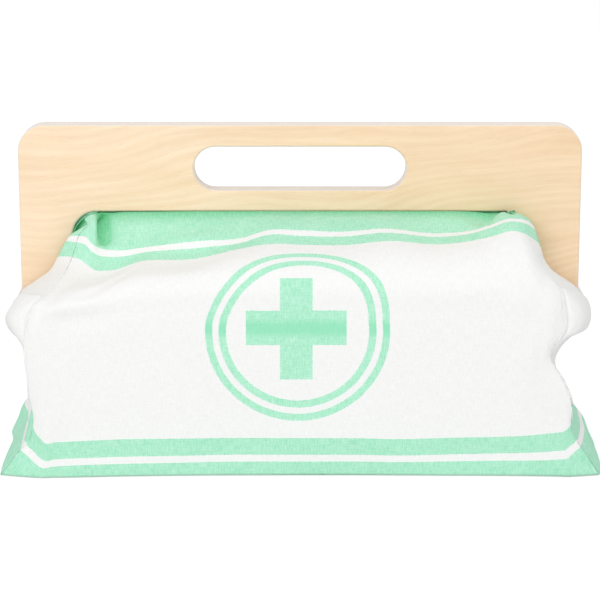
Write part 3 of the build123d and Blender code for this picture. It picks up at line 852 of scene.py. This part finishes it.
def stage_camera():
    """The camera: 13 degrees above the level, 1.15 m away, with a long lens."""
    tilt = math.radians(13.2)
    reach = 1.15
    aim = Vector((0, 0, 0.0723))  # m
    place = aim + reach * Vector((0, -math.cos(tilt), math.sin(tilt)))
    bpy.ops.object.camera_add(location=place)
    camera = bpy.context.object
    camera.rotation_euler = (aim - place).to_track_quat("-Z", "Y").to_euler()
    camera.data.lens = 138.4
    camera.data.sensor_width = 36
    bpy.context.scene.camera = camera


# ---------------------------------------------------------------- the cloth pieces
PRINT = canvas_finish("printed_canvas", emblem=True)
PLAIN = canvas_finish("canvas", emblem=False)


def dress(piece, finish):
    """Gives a piece its finish."""
    piece.data.materials.clear()
    piece.data.materials.append(finish)


def sheet_area(points):
    """The area of a grid of cloth, in square metres."""
    one = np.cross(points[1:, :-1] - points[:-1, :-1], points[:-1, 1:] - points[:-1, :-1])
    two = np.cross(points[1:, :-1] - points[1:, 1:], points[:-1, 1:] - points[1:, 1:])
    return float((np.linalg.norm(one, axis=2) + np.linalg.norm(two, axis=2)).sum()) / 2 * MM * MM


def full_rows(sections):
    """The long panel's sections with every row's x written out."""
    out = {}
    for place, rows in sections.items():
        filled = []
        for row in rows:
            x = float(place * cut_half(row[0]))
            filled.append(row if len(row) == 4 else (row[0], x, row[1], row[2]))
        out[place] = filled
    return out


def faded(across, along, sides=12.0, ends=9.0):
    """1 over the middle of a cloth, falling to 0 at its four edges; across and along run from 0 to 1."""
    a = np.clip(np.minimum(across, 1 - across) * sides, 0, 1)[:, None]
    b = np.clip(np.minimum(along, 1 - along) * ends, 0, 1)[None, :]
    return a * b


def across_steps(points):
    """Cloth coordinate across a piece, measured along its own surface."""
    steps = np.linalg.norm(np.diff(points, axis=0), axis=2)
    return np.concatenate([np.zeros((1, points.shape[1])), np.cumsum(steps, axis=0)])


def long_panel(side):
    """The front or rear panel: printed wall and roof in one cloth, ending under its bar."""
    across = from_edges(PANEL_WIDTH) / (PANEL_WIDTH / 2) - 1
    along = np.linspace(0, 1, PANEL_STEPS)
    points, up = loft(full_rows(LONG_PANEL), across, along)
    width = across[:, None] * cut_half(up)
    edge = (1 - np.abs(across[:, None])) * cut_half(up)
    phase = 0.4 if side == "front" else 2.6
    height = slack(width, up, phase) * 0.16 * faded((across + 1) / 2, along)
    for start, end, rise, wide in PANEL_CREASES:
        height = height + rise * crease(width, up, start, end, wide) * np.clip(edge / 4, 0, 1)
    height = height * np.clip((BAR_LINE - up) / 2.5, 0, 1) ** 0.5
    notch = hump(width, 106.3, 1.5) * np.clip((up - 148) / 6, 0, 1)
    groove = hump(edge, 0.8, 0.45)
    points = pushed(points, height - 3.2 * notch - 0.3 * groove)
    # The last of the cloth lies a little higher against the bar, away from its corners.
    level = 0.75 * np.clip((width + 99) / 8, 0, 1) * np.clip((92 - width) / 6, 0, 1)
    points[:, :, 2] += level * np.clip((up - 153.5) / 3.5, 0, 1)
    if side == "rear":
        points = turned(points)
    piece = grid_mesh(f"{side}_panel_cloth", points, width, up, edge)
    thicken(piece, CANVAS_THICKNESS)
    dress(piece, PRINT)
    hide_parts(f"{side}_panel", f"{side}_panel_top")
    sheet_area(points)
    return piece


def end_wall(side):
    """An end wall with its side pocket, from the base up to the pocket's lip."""
    hand = -1 if side == "left" else 1
    near = (LEFT_END, LEFT_END_SEAM) if side == "left" else (RIGHT_END, RIGHT_END_SEAM)
    far = (RIGHT_END, RIGHT_END_SEAM) if side == "left" else (LEFT_END, LEFT_END_SEAM)
    sections = {}
    for place, rows in near[0].items():
        sections[place] = with_lengths(rows)
    for place, rows in far[0].items():
        if place < 0.5:
            sections[1 - place] = with_lengths(rows) * np.array([1, -1, -1, 1])
    edges = {
        0.0: (near[1], lambda at: panel_edge(hand, at)),
        1.0: (far[1], lambda at: turned(panel_edge(-hand, at))),
    }
    depth = from_edges(END_WIDTH)
    points, up = aligned_loft(sections, depth / END_WIDTH, END_STEPS, edges)
    if side == "right":
        # The rear half is drawn in a little more.
        rear = np.clip(points[:, :, 1] / 18, 0, 1)
        points[:, :, 0] -= 3.2 * hump(points[:, :, 2], 37, 10) * rear
    width = (depth[:, None] - END_WIDTH / 2) + 0 * up
    edge = np.minimum(depth, END_WIDTH - depth)[:, None] + 0 * up
    phase = 1.1 if side == "left" else 4.2
    height = slack(width, up, phase) * 0.2 * faded(depth / END_WIDTH, np.linspace(0, 1, END_STEPS))
    groove = hump(edge, 0.7, 0.4)
    ridge = hump(edge, 1.9, 0.8)
    height = height - 0.2 * groove + 0.75 * ridge
    points = pushed(points, height * hand * -1)
    # The print climbs beside the side seams.
    climb = 9 * np.exp(-((edge / 7) ** 2)) * np.clip((up - 10) / 12, 0, 1) * np.clip((48 - up) / 14, 0, 1)
    piece = grid_mesh(f"{side}_gusset_cloth", points, width, up - climb, edge)
    if side == "left":
        piece.data.flip_normals()
    thicken(piece, CANVAS_THICKNESS)
    dress(piece, PLAIN)
    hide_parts(f"{side}_gusset")
    sheet_area(points)
    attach(piece, "bag")


def leg_fold(side, end):
    """The cloth that folds in front of, or behind, one leg."""
    like_left = (side == "left") == (end == "front")
    style, seam, hand = (LEFT_FOLD, LEFT_FOLD_SEAM, -1) if like_left else (RIGHT_FOLD, RIGHT_FOLD_SEAM, 1)
    beside_seam = [0, 0.008, 0.016, 0.024, 0.032, 0.04, 0.05, 0.06, 0.075]
    across = np.concatenate([beside_seam, np.linspace(0.1, 1.1, 31)])
    points, up = aligned_loft(style, across, FOLD_STEPS, {0.0: (seam, lambda at: panel_edge(hand, at))})
    width = across_steps(points)
    ridge = hump(width, 1.9, 0.8) * np.clip((118 - up) / 20, 0, 1)
    groove = hump(width, 0.7, 0.4) * (0.15 + 0.1 * np.clip((up - 112) / 10, 0, 1))
    points = pushed(points, (0.5 * ridge - groove) * hand * -1)
    if end == "rear":
        points = turned(points)
    piece = grid_mesh(f"{side}_{end}_fold", points, width, up, width)
    if like_left:
        piece.data.flip_normals()
    thicken(piece, CANVAS_THICKNESS)
    dress(piece, PLAIN)
    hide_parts(f"{end}_gusset_folds")
    sheet_area(points)
    return piece


def corner_tuck(side, end):
    """The gathers in the corner of the opening, between the fold and the wood."""
    like_left = (side == "left") == (end == "front")
    style = LEFT_TUCK if like_left else RIGHT_TUCK
    keys = sorted(style)
    rows = np.array([style[k] for k in keys], float)
    along = np.linspace(0, rows.shape[1] - 1, 41)
    across = np.linspace(0, 1, 33)
    curves = np.array([through(range(rows.shape[1]), r, along) for r in rows])
    points = through(keys, curves.reshape(len(keys), -1), across).reshape(len(across), len(along), 3)
    length = along / along[-1]
    depth = np.sin(across * math.pi)[:, None]
    ridge = np.abs(np.sin(across[:, None] * 8.5 + length[None, :] * 1.2))
    pleats = (1 - ridge) ** 1.5 * 3.2 * (1.05 - length[None, :] * 0.6)
    points[:, :, 1] -= pleats * depth
    if end == "rear":
        points = turned(points)
    width = across_steps(points)
    # Painted shade deepens in the valleys between the pleats, through the length up the cloth that the
    # finish reads.
    shade_up = 151 + 14 * depth * ridge ** 0.5 * (1.2 - length[None, :])
    piece = grid_mesh(f"{side}_{end}_gathers", points, width, shade_up)
    if not like_left:
        piece.data.flip_normals()
    thicken(piece, GATHERS_THICKNESS)
    dress(piece, PLAIN)
    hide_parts(f"{end}_gusset_folds")
    sheet_area(points)
    return piece


def hem_cloth(end):
    """The panel's turned top edge: under the bar and up behind it, where the batten clamps it."""
    profile = [(-6.2, 117.75), (-5.4, 117.45), (-4.4, 117.35), (-3.4, 117.45), (-2.85, 118), (-2.75, 119),
               (-2.75, 121), (-2.75, 123.5), (-2.75, 126.3)]
    knots = np.concatenate([[0], np.cumsum(np.linalg.norm(np.diff(np.array(profile), axis=0), axis=1))])
    across = np.linspace(-1, 1, 161)
    along = np.linspace(0, knots[-1], 37)
    line = through(knots, profile, along)
    half = 99.9
    x = across[:, None] * half + 0 * along[None, :]
    loose = np.clip(1 - along / 4, 0, 1)[None, :]
    y = line[None, :, 0] + 0.12 * np.sin(x / 3.1) * loose
    z = line[None, :, 1] - 0.1 * np.abs(np.sin(x / 4.7 + 0.6)) * loose
    points = np.stack([x, y, z], axis=2)
    if end == "rear":
        points = turned(points)
    # Its length up the cloth starts at the bar line, so the finish paints it with the shade of the bar and
    # the hem.
    piece = grid_mesh(f"{end}_hem_cloth", points, x, BAR_LINE + along[None, :] + 0 * x)
    thicken(piece, HEM_THICKNESS)
    dress(piece, PRINT)
    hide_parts(f"{end}_hem")
    sheet_area(points)
    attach(piece, f"{end}_handle")


def follow_handle(piece):
    """Bakes a piece's transform into its mesh."""
    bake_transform(piece)


def base_cloth():
    """The bottom panel, a little smaller than the outline of the base."""
    across = np.linspace(-1, 1, 97)
    along = np.linspace(-1, 1, 49)
    half_length = 143.4
    half_depth = 59.6
    x = across[:, None] * half_length + 0 * along[None, :]
    y = along[None, :] * half_depth + 0 * x
    inside = faded((across + 1) / 2, (along + 1) / 2, 30.0, 14.0)
    z = 1.0 + 0.14 * np.sin(x / 19) * np.sin(y / 17) * inside
    points = np.stack([x, y, z], axis=2)
    # Its length up the cloth lies past the bar line, so the finish paints it with the shade of the bar and
    # the hem.
    piece = grid_mesh("bottom_cloth", points, x, y + BEYOND)
    thicken(piece, CANVAS_THICKNESS)
    dress(piece, PLAIN)
    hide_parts("bottom_panel")
    sheet_area(points)
    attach(piece, "bag")


stage_floor()
stage_world()
stage_lamp("key_lamp", (-0.7, -2.1, 1.15), 1.5, 21)
stage_lamp("top_lamp", (0.2, 0.1, 1.8), 1.2, 2.5)
stage_lamp("side_lamp", (1.9, -1.0, 0.8), 1.4, 3.4)
stage_camera()

WOOD = wood_finish("plywood")
STEEL = steel_finish("steel")
FIBRE = board_finish("stiffener")
HOOKS = dot_finish("hook_tape", loops=False)
LOOPS = dot_finish("loop_tape", loops=True)


def paint(finish, *names):
    """Gives CAD pieces a better material."""
    for name in names:
        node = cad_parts[name]
        node.data.materials.clear()
        node.data.materials.append(finish)


for end in ("front", "rear"):
    paint(WOOD, f"{end}_handle_board", f"{end}_batten")
    paint(STEEL, f"{end}_batten_screws", f"{end}_hinge_screws")
    paint(STEEL, f"left_hinge_{end}_leaf", f"right_hinge_{end}_leaf")
paint(STEEL, "left_hinge_pin", "right_hinge_pin")
paint(FIBRE, "base_board")
paint(HOOKS, "hook_dots")
paint(LOOPS, "loop_dots")

base_cloth()
for end in ("front", "rear"):
    hem_cloth(end)
    follow_handle(long_panel(end))
for side in ("left", "right"):
    end_wall(side)
    for end in ("front", "rear"):
        follow_handle(leg_fold(side, end))
        follow_handle(corner_tuck(side, end))

bpy.context.scene.view_settings.view_transform = "Standard"
